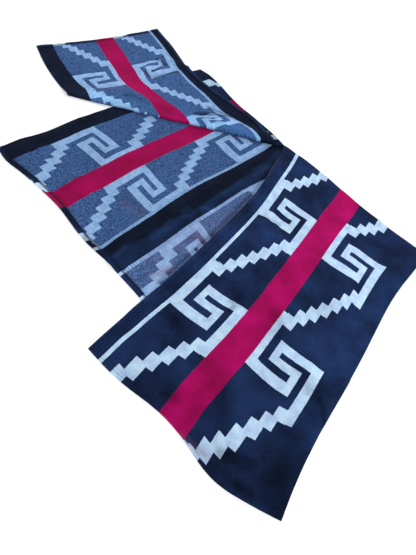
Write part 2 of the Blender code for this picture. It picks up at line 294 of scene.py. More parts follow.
# How far the weave has slipped or stretched along the cloth: rows across each panel, at parts of its length
LEFT_SHOULDER_SLIP = ((0, 0), (3, 0), (9, 80), (16, 80), (32, 80), (42, 0), (100, 0))
LEFT_CREASE_SLIP = ((0, 85), (15, 80), (30, 64), (50, 30), (100, 30))
SLIPS_ALONG = {
    "left back": {
        0.00: ((0, 30), (45, 30), (58, 56), (72, 50), (100, 45)),
        0.03: ((0, 32), (15, 39), (35, 34), (50, 36), (65, 43), (85, 47), (100, 40)),
        0.10: ((0, 34), (15, 43), (35, 36), (50, 35), (65, 41), (85, 46), (100, 38)),
        0.135: ((0, 34), (10, 43), (25, 42), (40, 36), (65, 40), (85, 46), (100, 36)),
        0.17: ((0, 32), (10, 41), (25, 38), (40, 34), (65, 38), (85, 43), (100, 34)),
        0.25: ((0, 23), (20, 28), (42, 26), (60, 27), (75, 31), (87, 36), (100, 31)),
        0.35: ((0, 18), (25, 19), (42, 18), (60, 17), (85, 24), (100, 19)),
        0.45: ((0, 6), (30, 10), (42, 14), (60, 11), (85, 19), (100, 16)),
        0.55: ((0, -1), (42, 1), (85, 15), (100, 13)),
        0.65: ((0, -12), (40, -3), (100, 3)),
        0.75: ((0, -15), (40, -8), (100, 0)),
        0.94: ((0, -4), (100, 0)),
        1.00: LEFT_SHOULDER_SLIP,
    },
    "tucked front": {0.00: LEFT_SHOULDER_SLIP, 1.00: LEFT_CREASE_SLIP},
    "flap": {
        0.00: LEFT_CREASE_SLIP,
        0.20: ((0, 45), (20, 31), (42, 22), (60, 12), (75, 18), (100, 20)),
        0.40: ((0, 3), (20, -18), (30, -16), (50, 5), (75, 6), (100, -10)),
        0.60: ((0, 9), (40, 0), (100, -7)),
        0.80: ((0, 3), (30, -3), (60, 3), (100, 6)),
        1.00: STRAIGHT,
    },
    "right back": {
        0.00: even(-2),
        0.10: ((0, 20), (100, 22)),
        0.22: ((0, 21), (15, 24), (100, 10)),
        0.30: ((0, 23), (10, 18), (20, 7), (100, 0)),
        0.40: ((0, 4), (10, -4), (20, -16), (100, -16)),
        0.50: ((0, -1), (10, -12), (20, -26), (100, -26)),
        0.60: ((0, -13), (15, -7), (100, -7)),
        0.70: even(-3),
        1.00: even(-4),
    },
    "front": {
        0.00: even(-4),
        0.18: ((0, -4), (17, -16), (36, 0), (50, 2), (57, -8), (70, -29), (82, -18), (88, -12), (100, -10)),
        0.35: ((0, 0), (30, -6), (45, -2), (55, -9), (70, -28), (80, -29), (87, -6), (100, -2)),
        0.48: ((0, 0), (30, -1), (45, 1), (55, -12), (62, -20), (70, -26), (80, -24), (87, -10), (100, -7)),
        0.60: ((0, 0), (20, 3), (40, 5), (50, -6), (61, -16), (80, -22), (88, -13), (100, -12)),
        0.72: ((0, 6), (20, 8), (35, 11), (45, 9), (55, -6), (70, -19), (85, -23), (100, -24)),
        0.85: ((0, 7), (20, 6), (35, 3), (45, -2), (55, -14), (70, -26), (100, -30)),
        0.93: ((0, 4), (20, 10), (42, 4), (55, -8), (70, -10), (100, -12)),
        1.00: ((0, 20), (40, 20), (55, 0), (100, 0)),
    },
}

# The same across the cloth
LEFT_SHOULDER_SHIFT = ((0, 0), (40, 0), (55, 10), (65, 8), (80, -14), (100, -14))
RIGHT_SHOULDER_SHIFT = ((0, 9), (30, 14), (60, 15), (100, 8))
SLIPS_ACROSS = {
    "left back": {
        0.00: STRAIGHT,
        0.03: ((0, -4), (20, -12), (60, -14), (85, -9), (100, -4)),
        0.10: ((0, -5), (30, -9), (60, -8), (85, -7), (100, -6)),
        0.135: ((0, -5), (40, -4), (60, -2), (86, -3), (93, 8), (100, 8)),
        0.17: ((0, -5), (40, -4), (60, -1), (100, -1)),
        0.25: ((0, -2), (30, -3), (50, -1), (70, 1), (100, 0)),
        0.35: ((0, 3), (100, 0)),
        0.45: ((0, 3), (100, 0)),
        0.55: ((0, 2), (100, 0)),
        0.65: STRAIGHT,
        0.75: even(2),
        0.94: STRAIGHT,
        1.00: LEFT_SHOULDER_SHIFT,
    },
    "tucked front": {0.00: LEFT_SHOULDER_SHIFT, 1.00: STRAIGHT},
    "flap": {
        0.00: STRAIGHT,
        0.20: ((0, 20), (15, 42), (40, 16), (75, -14), (100, -2)),
        0.40: ((0, 8), (25, 18), (50, 10), (70, -8), (100, 0)),
        0.60: ((0, 5), (40, -4), (55, -8), (100, -2)),
        0.80: STRAIGHT,
        1.00: STRAIGHT,
    },
    "right back": {
        0.00: even(6),
        0.10: even(6),
        0.22: even(7),
        0.30: even(8),
        0.40: even(9),
        0.50: even(9),
        0.60: ((0, 8), (100, 9)),
        0.70: ((0, 8), (100, 9)),
        1.00: RIGHT_SHOULDER_SHIFT,
    },
    "front": {
        0.00: RIGHT_SHOULDER_SHIFT,
        0.18: ((0, 2), (50, 4), (65, 8), (80, 4), (88, -2), (100, 0)),
        0.35: ((0, 8), (15, 7), (25, 2), (60, 8), (80, 7), (88, -1), (100, 0)),
        0.48: ((0, 9), (15, 8), (25, 4), (60, 7), (80, 5), (88, 0), (100, 1)),
        0.60: ((0, 10), (15, 9), (25, 6), (45, 7), (60, 6), (80, 2), (100, 0)),
        0.72: ((0, 9), (15, 8), (25, 5), (50, 8), (80, 6), (100, 3)),
        0.85: ((0, 7), (15, 5), (25, 3), (50, 4), (80, 4), (100, 1)),
        0.93: STRAIGHT,
        1.00: STRAIGHT,
    },
}

# Painted light and shade: darker creases, hollows and shadows beside raised edges, lighter crests and ridges,
# and broad changes of light over whole panels. Each row is x and y of its start, x and y of its end, how many
# percent lighter it is than the cloth round it, or darker where below zero, and its spread, in millimetres
PAINTED_LIGHT_AND_SHADE = {
    "left back": (
        (-152, -707, -68, -695, -20, 20),
        (-10, -860, 0, -100, -30, 14),
        (-640, -936, -570, -932, -60, 24),
        (-230, -903, -150, -911, -60, 13),
        (-560, -940, -455, -925, -55, 16),
        (-85, -916, 10, -914, -60, 16),
        (-420, -640, -380, -700, -16, 40),
        (-330, -850, -250, -830, -16, 20),
    ),
    "tucked front": (
        (-400, 30, -50, 0, -55, 50),
        (-560, 50, -470, 30, -22, 40),
        (-625, 40, -600, 50, -45, 24),
    ),
    "right back": (
        (16, -800, 20, -745, -120, 6),
        (18, -690, 12, -655, -120, 7),
        (12, -625, 16, -600, -120, 10),
        (24, -535, 27, -500, -150, 11),
        (18, -480, 18, -340, -130, 10),
        (14, -340, 12, -230, -120, 9),
        (34, -880, 24, -835, 80, 7),
        (46, -740, 42, -670, 70, 8),
        (32, -600, 50, -570, 70, 8),
        (46, -510, 68, -490, 90, 11),
        (44, -400, 42, -300, 65, 10),
        (46, -230, 40, -120, 55, 11),
        (75, -700, 60, -600, -35, 10),
        (66, -560, 60, -535, -50, 9),
        (62, -460, 58, -420, -40, 10),
        (110, -640, 200, -560, -20, 20),
        (39, -100, 104, -300, -60, 7),
        (104, -300, 156, -570, -60, 7),
        (156, -570, 194, -830, -60, 7),
    ),
    "flap": (
        (-900, -250, -300, -200, 16, 500),
        (-387, -229, -200, -90, 6, 30),
        (-383, -198, -287, -137, 10, 12),
        (-220, -110, -80, -70, 35, 28),
        (-723, -485, -552, -359, 25, 22),
        (-721, -137, -738, -50, -110, 7),
        (-795, -53, -744, -50, -110, 7),
        (-735, -173, -695, -173, -100, 7),
        (-684, -155, -651, -48, -60, 10),
        (-374, -179, -268, -73, -100, 7),
        (-376, -98, -267, -69, -100, 7),
        (-629, -350, -548, -314, -30, 15),
    ),
    "front": (
        (300, -950, 850, -950, -13, 300),
        (250, -80, 750, -80, 7, 250),
        (300, -100, 385, -150, -14, 35),
        (345, -15, 390, -40, 8, 30),
        (228, -495, 299, -387, 40, 30),
        (200, -373, 274, -344, -50, 10),
        (266, -71, 367, -123, 35, 4),
        (300, -60, 345, -140, 30, 4),
        (608, -328, 620, -330, 22, 80),
        (720, -350, 800, -700, 22, 60),
        (640, -540, 700, -600, 20, 60),
        (560, -420, 600, -480, -25, 40),
        (520, -620, 560, -660, -30, 30),
        (780, -820, 800, -900, -25, 30),
        (327, -872, 340, -885, -40, 18),
        (394, -669, 400, -690, -40, 14),
        (482, -1033, 500, -1020, -40, 20),
        (571, -1024, 575, -1000, -15, 20),
        (499, -734, 510, -700, -12, 24),
        (832, -964, 875, -1000, -55, 60),
        (720, -1000, 745, -995, -40, 18),
        (715, -715, 755, -715, -30, 22),
        (240, -1110, 800, -1040, -15, 60),
        (686, -1019, 757, -981, -60, 12),
        (764, -1039, 798, -1030, -50, 10),
        (772, -715, 826, -759, -60, 9),
        (411, -728, 409, -706, -60, 7),
    ),
}

# Tinged places in the same form: lilac and rusty stains above zero, and a painted cyan sheen below it
STAINS_AND_SHEEN = {
    "left back": ((-140, -720, -60, -700, 16, 16),),
    "right back": (
        (110, -760, 180, -300, 10, 50),
        (164, -828, 174, -766, 40, 12),
        (110, -600, 160, -600, 22, 14),
    ),
    "flap": (
        (-390, -240, -100, -75, -60, 35),
        (-740, -500, -420, -260, -45, 35),
        (-738, -415, -700, -330, 16, 14),
        (-735, -173, -695, -173, 50, 6),
    ),
    "front": ((591, -1069, 662, -1053, 40, 10),),
}

# Sewing of the turned edges
THREAD_CORNERS = 4
THREAD_RADIUS = 0.0004
STITCH = 0.0042
STITCH_PITCH = 0.0056
STITCH_INSET = 0.0115
STITCHES_FROM_SIDE = 0.004
OVERLOCK_INSETS = (0.0132, 0.0190)
OVERLOCK_PITCH = 0.0024
OVERLOCK_RADIUS = 0.0018
OVERLOCK_FROM_SIDE = 0.003
EDGE_SEWING_START = 0.08  # this and the next two are parts of the last panel's length
EDGE_STITCHES_SHORT = 0.01
EDGE_OVERLOCK_SHORT = 0.02

# The lapped seam's two rows, its bar tack at the nape, and the loose thread
SEAM_STITCHES = (-0.014, -0.005)
SEAM_SEWN = (0.03, 0.97)
TACK_PLACES = (0.955, 1.0)
TACK_PITCH = 0.0035
TACK_RADIUS = 0.0013
PIPING_PARTS = (1.08, 1.62)
PIPING_PITCH = 0.0048
PIPING_RADIUS = 0.0013

# Camera, in the plan whose zero is the nape
EYE = (0.678, -1.224, 1.060)
HEADING = (-0.6017, 0.7987)
PITCH = math.radians(57.8)
ROLL = math.radians(12.6)
FOCAL_PIXELS = 385
PHOTO_HEIGHT = 555
SENSOR = 36.0
CLIP = (0.01, 100)


def smooth_rows(rows, at):
    """A natural cubic spline through rows of (percent, millimetres): its metres at an array of parts."""
    place, value = (np.array(rows) * (PERCENT, MM)).T
    gap = np.diff(place)
    slope = np.diff(value) / gap
    matrix = np.eye(len(place))
    change = np.zeros(len(place))
    for i in range(1, len(place) - 1):
        matrix[i, i - 1 : i + 2] = gap[i - 1], 2 * (gap[i - 1] + gap[i]), gap[i]
        change[i] = 6 * (slope[i] - slope[i - 1])
    bend = np.linalg.solve(matrix, change)
    i = np.clip(np.searchsorted(place, at, side="right") - 1, 0, len(gap) - 1)
    x = np.clip(at, place[0], place[-1]) - place[i]
    first = slope[i] - gap[i] * (2 * bend[i] + bend[i + 1]) / 6
    return value[i] + first * x + bend[i] * x**2 / 2 + (bend[i + 1] - bend[i]) * x**3 / (6 * gap[i])


def smooth_step(x):
    """An ease from 0 at 0 to 1 at 1: three squares less two cubes."""
    x = np.clip(x, 0, 1)
    return x * x * (3 - 2 * x)


def unit(vector):
    return vector / np.linalg.norm(vector, axis=-1, keepdims=True)


def line_point(line, w):
    """The plan point at part w of the width along a line: straight between its ends, plus its bow."""
    inner, outer = np.array(line.inner), np.array(line.outer)
    direction = unit(outer - inner)
    left = np.array([-direction[1], direction[0]])
    return inner + (outer - inner) * w[..., None] + left * smooth_rows(line.bow, w)[..., None]


def panel_point(panel, w, t):
    """The plan point at parts w of the width and t of the length: between the lines, plus the edges' bows."""
    w, t = np.broadcast_arrays(w, t)
    between = line_point(panel.start, w) * (1 - t)[..., None] + line_point(panel.end, w) * t[..., None]
    across = np.array(panel.start.outer) + panel.end.outer - panel.start.inner - panel.end.inner
    offset = smooth_rows(panel.front_edge, t) * (1 - w) + smooth_rows(panel.outer_edge, t) * w
    return between + unit(across) * offset[..., None]


def outline(panel, length=1.0, samples=24):
    """The border in the plan of a panel, or of the first part of its length, with its lapped turning."""
    t = np.linspace(0, length, samples)
    inner_w = -TURN / WIDTH if "back" in panel.name else 0.0
    inner = panel_point(panel, np.full(samples, inner_w), t)
    outer = panel_point(panel, np.ones(samples), t)
    return np.concatenate([inner, outer[::-1]])


def distance_outside(points, border):
    """How far each plan point lies outside a closed border, and 0 inside it."""
    a, b = border, np.roll(border, -1, axis=0)
    edge = b - a
    to_point = points[..., None, :] - a
    part = np.clip((to_point * edge).sum(-1) / (edge * edge).sum(-1), 0, 1)
    away = np.linalg.norm(to_point - part[..., None] * edge, axis=-1).min(-1)
    x, y = points[..., 0, None], points[..., 1, None]
    rise = np.where(edge[:, 1] == 0, np.finfo(float).eps, edge[:, 1])
    crosses = ((a[:, 1] > y) != (b[:, 1] > y)) & (x < edge[:, 0] * (y - a[:, 1]) / rise + a[:, 0])
    inside = crosses.sum(-1) % 2 == 1
    return np.where(inside, 0.0, away)


def over(points, border, drop=DROP):
    """1 where a layer lies on the cloth inside the border, falling smoothly to 0 outside it."""
    return 1 - smooth_step((distance_outside(points, border) - EDGE_MARGIN) / drop)


def bell(points, segment, spread):
    """A bell across a segment in millimetres, with round ends: 1 on the segment, 0 far from it."""
    start, end = MM * np.reshape(segment, (2, 2))
    run = end - start
    part = np.clip(((points - start) @ run) / (run @ run), 0, 1)
    away = np.linalg.norm(points - start - part[..., None] * run, axis=-1)
    return np.exp(-((away / (MM * spread)) ** 2))


def ripple(points, name):
    """Low waves in all directions, from 0 to their full height."""
    random = np.random.default_rng(sorted(RIDGES).index(name))
    waves = np.zeros(points.shape[:-1])
    for _ in range(RIPPLE_WAVES):
        heading, phase = random.uniform(0, 2 * math.pi, 2)
        length = random.uniform(*RIPPLE_LENGTHS)
        waves += np.sin(points @ [math.cos(heading), math.sin(heading)] * 2 * math.pi / length + phase)
    return RIPPLE * (0.5 + 0.5 * np.tanh(waves / 2))


def ridges(points, name):
    """The height of the named panel's ridges, creases and ripple: the highest of them at each plan point."""
    height = ripple(points, name)
    for *segment, rise, spread in RIDGES[name] + CREASES[name]:
        height = np.maximum(height, MM * rise * bell(points, segment, spread))
    return height


def marked(points, marks):
    """The sum of the marks' strengths at each plan point."""
    total = np.zeros(points.shape[:-1])
    for *segment, strength, spread in marks:
        total += PERCENT * strength * bell(points, segment, spread)
    return total


def settle(distance):
    """How much of a fold's loft is left at a distance from it: a bell."""
    return np.exp(-((np.maximum(distance, 0) / SETTLE) ** 2))


def crease_radius(w):
    """The crease's radius over the width: fuller at the neck, and falling to its own radius as a bell."""
    return CREASE_RADIUS + (NECK_ROLL_RADIUS - CREASE_RADIUS) * np.exp(-((w / NECK_ROLL_REACH) ** 2))


def shoulder_radius(w):
    return np.full_like(w, SHOULDER_RADIUS)


def below_left_shoulder(points):
    """How far a plan point lies below the straight line of the left shoulder."""
    direction = unit(np.array(LEFT_SHOULDER.outer) - LEFT_SHOULDER.inner)
    return (points - np.array(LEFT_SHOULDER.inner)) @ np.array([-direction[1], direction[0]])


LEFT_BACK = outline(LEFT_PANELS[0])
LEFT_HEM = outline(LEFT_PANELS[0], TURN / BACK_LENGTH)
LEFT_TUCKED = outline(LEFT_PANELS[1])
RIGHT_BACK = outline(RIGHT_PANELS[0])
RIGHT_HEM = outline(RIGHT_PANELS[0], TURN / BACK_LENGTH)


def lie_on(points, top, border, air=NAP, drop=DROP):
    """The height of cloth's middle surface, on the top of the layer inside a border or else on the ground.

    The cloth bridges dips: it lies on the highest top within a short reach.
    """
    highest = top(points)
    for angle in np.arange(BRIDGE_DIRECTIONS) * 2 * math.pi / BRIDGE_DIRECTIONS:
        beside = points + BRIDGE * np.array([math.cos(angle), math.sin(angle)])
        highest = np.maximum(highest, top(beside))
    return CLOTH / 2 + over(points, border, drop) * (highest + air)


def left_back_top(points):
    return CLOTH + ridges(points, "left back") + CLOTH * over(points, LEFT_HEM)


def tucked_top(points):
    """The tucked front's top: it stands off the back beside the shoulder fold, and settles away from it."""
    loft = (2 * SHOULDER_RADIUS - STACK) * settle(below_left_shoulder(points) - SHOULDER_RADIUS)
    return lie_on(points, left_back_top, LEFT_BACK) + CLOTH / 2 + loft


def lapped_back(points):
    """The right back's middle surface: its inner edge is lapped over the left back's."""
    lapped = lie_on(points, left_back_top, LEFT_BACK, SEAM_GAP, LAP_DROP)
    return lapped + ridges(points, "right back")


def right_back_top(points):
    return lapped_back(points) + CLOTH / 2 + CLOTH * over(points, RIGHT_HEM)


def left_bed(panel_name, points):
    """The height of a left panel's middle surface where it lies on what is under it, away from its folds."""
    if panel_name == "left back":
        return CLOTH / 2 + ridges(points, "left back")
    on_back = lie_on(points, left_back_top, LEFT_BACK)
    if panel_name == "tucked front":
        return on_back
    return np.maximum(on_back, lie_on(points, tucked_top, LEFT_TUCKED)) + ridges(points, "flap")


def right_bed(panel_name, points):
    """The same for a right panel."""
    if panel_name == "right back":
        return lapped_back(points)
    return lie_on(points, right_back_top, RIGHT_BACK) + ridges(points, "front")


def slip(rows, w, part):
    """How far the weave has slipped: a spline across the panel at each of its rows, eased from row to row."""
    places = np.array(list(rows))
    values = np.stack([smooth_rows(row, w) for row in rows.values()])
    i = np.clip(np.searchsorted(places, part, side="right") - 1, 0, len(places) - 2)
    ease = smooth_step((part - places[i]) / (places[i + 1] - places[i]))
    low, high = np.take_along_axis(values, i, axis=0), np.take_along_axis(values, i + 1, axis=0)
    return low + (high - low) * ease


def column_places():
    """Places across a length: even steps between its stripes' edges, and close pairs at the turned edge."""
    stops = [TURN + STEP_WIDTH, BORDER, THIN_LINE, *STRIPE, OUTER_BORDER, WIDTH]
    places = [np.linspace(0, TURN - STEP_WIDTH, TURN_STEPS)]
    for low, high in zip(stops, stops[1:]):
        count = max(1, round((high - low) / COLUMN_STEP))
        places.append(np.linspace(low, high, count, endpoint=False))
    return np.concatenate([*places, [WIDTH]])


def turn_rows():
    """Distances from a hem: across its turning, with a close pair at the turning's raw edge."""
    return np.concatenate([np.linspace(0, TURN - STEP_WIDTH, TURN_STEPS), [TURN + STEP_WIDTH]])


def panel_rows(run, before, after, is_first, is_last):
    """A panel's rows: their distances from its start, and their angles round the folds at its two ends.

    A fold takes a quarter of a turn at each side. A hem has its turning's rows instead. There, and on the
    even rows between the ends, the angle is not a number.
    """
    hem = turn_rows()[:, None]
    rising = np.linspace(0, QUARTER, FOLD_STEPS)[1:, None]
    entering = np.linspace(-QUARTER, 0, FOLD_STEPS)[:, None]
    no_angle = np.full_like(hem, np.nan)
    if is_first:
        start, start_angle, first = hem + 0 * run, no_angle, hem[-1]
    else:
        start, start_angle, first = before * (1 - np.cos(rising)), rising, before
    if is_last:
        end, end_angle, final = run - hem[::-1], no_angle, hem[-1]
    else:
        end, end_angle, final = run - after * (1 - np.cos(entering)), entering, after
    count = int(np.max(run) / ROW_STEP)
    part = np.arange(1, count)[:, None] / count
    away = np.concatenate([start, first + part * (run - first - final), end])
    return away, np.concatenate([start_angle, np.full_like(part, np.nan), end_angle])


def lapped_width(away, across, waves):
    """The back's places across, as parts of its width: its first columns are moved out over the seam.

    The lap grows from nothing at the nape. Where the seam waves, its edge moves in and out by the wave.
    """
    width = np.broadcast_to(across / WIDTH, away.shape).copy()
    distance = away.mean(axis=1)
    lap = smooth_step((BACK_LENGTH - distance - LAP_START) / LAP_GROWTH)
    places = across[:LAPPED_COLUMNS]
    lapped = np.interp(places, [places[0], places[-1]], [-TURN, places[-1]])
    wave = smooth_rows(SEAM_WAVE, distance / BACK_LENGTH)[:, None] * waves
    moved = lapped - places + wave * (1 - places / places[-1])
    width[:, :LAPPED_COLUMNS] += lap[:, None] * moved / WIDTH
    return width


Grid = namedtuple("Grid", "middle outward turned cloth lining shade tinge place")


def length_grid(side, panels, radii, bed):
    """A length's middle surface: rows placed along its panels, and lifted by the layers below and by folds.

    The cloth's measure along it runs from 0 at the back hem to its front fret measure at the front hem. It is
    metric in the back and in the last panel, and takes up the slack between them. The weave's slips are taken
    from it. Where the cloth is turned over, its lining side shows the measure beyond the edge, turned back.
    """
    last = len(panels) - 1
    sign = 1 if side == "right" else -1
    across = column_places()
    w = across / WIDTH
    runs = [np.linalg.norm(panel_point(p, w, 1.0) - panel_point(p, w, 0.0), axis=1) for p in panels]
    front_measure = FRONT_FRETS[side]
    measures = [0 * w, *runs[: last - 1], front_measure - runs[last], front_measure + 0 * w]
    folds = [0 * w, *(radius(w) for radius in radii), 0 * w]
    blocks = []
    floor = None
    for k, panel in enumerate(panels):
        run, before, after = runs[k], folds[k], folds[k + 1]
        away, angle = panel_rows(run, before, after, k == 0, k == last)
        part = away / run
        width = np.broadcast_to(w, away.shape) if k else lapped_width(away, across, side == "right")
        plan = panel_point(panel, width, part)
        height = bed(panel.name, plan)
        if k > 0:
            settled = bed(panel.name, panel_point(panel, w, before / run))
            loft = np.maximum(floor + 2 * before - settled, 0)
            height = height + loft * settle(away - before)
            rising = angle[:, 0] > 0
            height[rising] = floor + before * (1 + np.sin(angle[rising]))
        if k < last:
            entering = angle[:, 0] <= 0
            floor = height[entering][0].copy()
            height[entering] = floor + after * (1 + np.sin(angle[entering]))
        along = measures[k] + (measures[k + 1] - measures[k]) * part - slip(SLIPS_ALONG[panel.name], w, part)
        cloth = np.stack([width * WIDTH - slip(SLIPS_ACROSS[panel.name], w, part), along], axis=-1)
        lining = cloth.copy()
        turned = np.zeros_like(away)
        if k == last:
            edge_turned = across < TURN
            turned[:, edge_turned] = away[:, :1] > FRONT_TURN_START
            lining[:, edge_turned, 0] *= -1
        if k in (0, last):
            hem_distance = away if k == 0 else run - away
            hem_turned = hem_distance[:, 0] < TURN
            turned[hem_turned] = 1
            lining[hem_turned, :, 1] += (2 if k == last else -2) * hem_distance[hem_turned]
        lies_inside_down = k % 2 == 1
        height = height + CLOTH * turned * lies_inside_down
        for face in (cloth, lining):
            face[..., 1] = sign * (face[..., 1] - FIRST_FRET)
        # Painted light and shade, and stains with a painted cyan sheen, as values at the points for the
        # material
        shade = marked(plan, PAINTED_LIGHT_AND_SHADE.get(panel.name, ()))
        tinge = marked(plan, STAINS_AND_SHEEN.get(panel.name, ()))
        blocks.append((np.dstack([plan, height]), turned, cloth, lining, shade, tinge, k + part))
    middle, *fields = (np.concatenate(parts) for parts in zip(*blocks))
    outward = unit(np.cross(np.gradient(middle, axis=0), np.gradient(middle, axis=1)))
    back_faces_down = -np.sign(outward[0, 0, 2])
    return Grid(middle, outward * back_faces_down, *fields)


def wall_faces(grid):
    """The wall's faces: half the cloth out from its middle and half in, or three halves in where turned."""
    outer = grid.middle + grid.outward * CLOTH / 2
    inner = grid.middle - grid.outward * (CLOTH / 2 + CLOTH * grid.turned)[..., None]
    for face in (outer, inner):
        face[..., 2] = np.maximum(face[..., 2], 0)
    return outer, inner


def new_object(name, data):
    thing = bpy.data.objects.new(name, data)
    bpy.context.scene.collection.objects.link(thing)
    return thing


def new_piece(name, mesh, materials):
    """A smooth piece of the ruana, which rides on its body."""
    for material in materials:
        mesh.materials.append(material)
    mesh.shade_smooth()
    piece = new_object(name, mesh)
    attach(piece, "root")
    return piece


SHARP_ANGLE = math.radians(55)


def cloth_wall(name, grid, shift, materials):
    """A closed wall from a grid: its two faces, joined round the rim. The turned cloth shows its outside."""
    outer, inner = wall_faces(grid)
    rows, columns = grid.turned.shape
    points = np.concatenate([outer.reshape(-1, 3), inner.reshape(-1, 3)]) + shift
    index = np.arange(rows * columns).reshape(rows, columns)
    face = np.stack([index[:-1, :-1], index[:-1, 1:], index[1:, 1:], index[1:, :-1]], axis=-1).reshape(-1, 4)
    behind = rows * columns
    border = np.concatenate([index[0, :], index[1:, -1], index[-1, -2::-1], index[-2:0:-1, 0]])
    ahead = np.roll(border, -1)
    rim = np.column_stack([ahead, border, border + behind, ahead + behind])
    faces = np.concatenate([face, face[:, ::-1] + behind, rim])
    a, b, c = (points[faces[0, i]] for i in range(3))
    if np.dot(np.cross(b - a, c - b), grid.outward[0, 0]) < 0:
        faces = faces[:, ::-1]
    mesh = bpy.data.meshes.new(name)
    mesh.vertices.add(len(points))
    mesh.vertices.foreach_set("co", points.ravel())
    mesh.loops.add(faces.size)
    mesh.loops.foreach_set("vertex_index", faces.ravel())
    mesh.polygons.add(len(faces))
    mesh.polygons.foreach_set("loop_start", np.arange(0, faces.size, 4))
    is_turned = grid.turned.ravel()[face].min(axis=1) > 0.5
    material = np.concatenate([np.zeros(len(face)), np.where(is_turned, 0, 1), np.zeros(len(rim))])
    mesh.polygons.foreach_set("material_index", material.astype(np.int32))
    mesh.update()
    mesh.validate()
    measure = np.concatenate([grid.cloth.reshape(-1, 2), grid.lining.reshape(-1, 2)])
    uv = mesh.uv_layers.new(name="cloth")
    uv.uv.foreach_set("vector", measure[faces].astype(np.float32).ravel())
    for field in ("shade", "tinge"):
        attribute = mesh.attributes.new(field, "FLOAT", "POINT")
        attribute.data.foreach_set("value", np.tile(getattr(grid, field).ravel(), 2).astype(np.float32))
    piece = new_piece(name, mesh, materials)
    mesh.set_sharp_from_angle(angle=SHARP_ANGLE)
    return piece


def between(field, row, column):
    """A grid's field at arrays of fractional rows and columns."""
    row, column = np.broadcast_arrays(np.asarray(row, float), np.asarray(column, float))
    i = np.clip(np.floor(row).astype(int), 0, field.shape[0] - 2)
    j = np.clip(np.floor(column).astype(int), 0, field.shape[1] - 2)
    a, b = (row - i)[:, None], (column - j)[:, None]
    low = field[i, j] * (1 - b) + field[i, j + 1] * b
    high = field[i + 1, j] * (1 - b) + field[i + 1, j + 1] * b
    return low * (1 - a) + high * a


def column_at(place):
    """The fractional column at a place across the cloth."""
    places = column_places()
    return np.interp(place, places, np.arange(len(places)))


def hem_row(grid, inset, at_front):
    """The fractional row at a distance in from a hem."""
    insets = [*turn_rows(), turn_rows()[-1] + ROW_STEP]
    row = np.interp(inset, insets, np.arange(len(insets)))
    return len(grid.middle) - 1 - row if at_front else row


def rows_along(grid, column, first_place, last_place, pitch):
    """Fractional rows at even distances down a column, between two places along the length."""
    line = grid.middle[:, int(column)]
    length = np.concatenate([[0], np.cumsum(np.linalg.norm(np.diff(line, axis=0), axis=1))])
    start, end = np.interp([first_place, last_place], grid.place[:, int(column)], length)
    return np.interp(np.arange(start, end, pitch), length, np.arange(len(length)))


class Sewing:
    """Threads gathered for one mesh. A path is fractional rows and columns on one face of the cloth."""

    def __init__(self, grid, shift):
        self.shift = shift
        outer, inner = wall_faces(grid)
        self.sides = {"outer": (outer, grid.outward), "inner": (inner, -grid.outward)}
        self.points = []
        self.faces = []

    def path(self, side, row, column):
        """The path's points, and the directions out of the cloth at them."""
        face, outward = self.sides[side]
        return between(face, row, column), unit(between(outward, row, column))

    def tube(self, line, outward, radius):
        """A closed tube with flat ends along a line, with its corners round each point."""
        ahead = unit(np.gradient(line, axis=0))
        beside = unit(np.cross(ahead, outward))
        corner = np.arange(THREAD_CORNERS)
        angle = QUARTER + 2 * math.pi * corner / THREAD_CORNERS
        ring = np.cos(angle)[:, None] * beside[:, None] + np.sin(angle)[:, None] * outward[:, None]
        points = (line[:, None] + radius * ring).reshape(-1, 3)
        points[:, 2] = np.maximum(points[:, 2], 0)
        first = sum(len(block) for block in self.points)
        after = (corner + 1) % THREAD_CORNERS
        for k in range(len(line) - 1):
            low = first + k * THREAD_CORNERS
            high = low + THREAD_CORNERS
            self.faces += np.column_stack([low + corner, high + corner, high + after, low + after]).tolist()
        self.faces.append((first + corner).tolist())
        self.faces.append((first + (len(line) - 1) * THREAD_CORNERS + corner)[::-1].tolist())
        self.points.append(points)

    def stitches(self, side, row, column):
        """A row of stitches: each starts at one of the path's even samples, and ends short of the next."""
        line, outward = self.path(side, row, column)
        for k in range(len(line) - 1):
            end = line[k] + (line[k + 1] - line[k]) * STITCH / STITCH_PITCH
            self.tube(np.array([line[k], end]), outward[k : k + 2], THREAD_RADIUS)

    def stitches_through(self, row, column):
        """A row of stitches on both faces."""
        for side in self.sides:
            self.stitches(side, row, column)

    def piece(self, name, material):
        """The piece that holds all the threads."""
        mesh = bpy.data.meshes.new(name)
        points = np.concatenate(self.points) + self.shift
        mesh.from_pydata(points.tolist(), [], self.faces)
        mesh.update()
        return new_piece(name, mesh, [material])


def hem_stitches(side, grid, shift, thread):
    """A length's sewing: a stitched line along each turned edge, and an overlocked zigzag on each raw one."""
    sewing = Sewing(grid, shift)
    stitches = column_at(np.arange(STITCHES_FROM_SIDE, WIDTH - STITCHES_FROM_SIDE, STITCH_PITCH))
    zigzag = column_at(np.arange(OVERLOCK_FROM_SIDE, WIDTH - OVERLOCK_FROM_SIDE, OVERLOCK_PITCH))
    for at_front in (False, True):
        sewing.stitches_through(hem_row(grid, STITCH_INSET, at_front), stitches)
        rows = hem_row(grid, np.resize(OVERLOCK_INSETS, len(zigzag)), at_front)
        sewing.tube(*sewing.path("inner", rows, zigzag), OVERLOCK_RADIUS)
    end = round(grid.place.max())
    start = end - 1 + EDGE_SEWING_START
    column = column_at(STITCH_INSET)
    sewing.stitches_through(rows_along(grid, column, start, end - EDGE_STITCHES_SHORT, STITCH_PITCH), column)
    rows = rows_along(grid, column_at(TURN), start, end - EDGE_OVERLOCK_SHORT, OVERLOCK_PITCH)
    columns = column_at(np.resize(OVERLOCK_INSETS, len(rows)))
    sewing.tube(*sewing.path("inner", rows, columns), OVERLOCK_RADIUS)
    if side == "right":
        for place in SEAM_STITCHES:
            column = np.interp(place, [-TURN, TURN], [0, LAPPED_COLUMNS - 1])
            sewing.stitches("inner", rows_along(grid, column, *SEAM_SEWN, STITCH_PITCH), column)
    return sewing.piece(f"{side}_stitches", thread)


